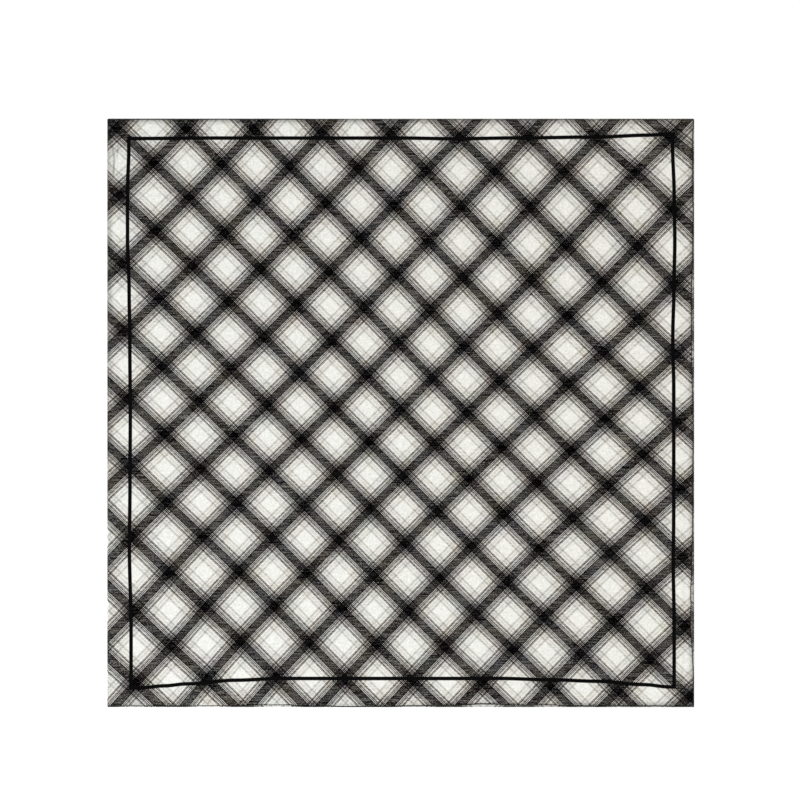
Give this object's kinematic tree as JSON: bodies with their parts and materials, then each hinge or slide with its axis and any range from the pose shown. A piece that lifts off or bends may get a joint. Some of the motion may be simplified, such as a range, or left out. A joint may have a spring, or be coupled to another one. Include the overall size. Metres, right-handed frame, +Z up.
{
  "type": "square scarf",
  "caption": "Thin square cotton scarf with a narrow rolled hem, opened out and lying flat; worn round the neck or head, or folded.",
  "frame": {"origin": "on the surface that the scarf lies on, under the middle of its bounding box", "axes": "+Z up through the cloth, +Y towards the side that is at the top of the picture, +X to its right"},
  "size_m": [0.55, 0.5514, 0.0018],
  "materials": {
    "printed_cotton": "matt plain-weave cotton printed with a black and white check on the bias"
  },
  "bodies": {
    "root": {"scarf_cloth": "printed_cotton"}
  },
  "joints": []
}
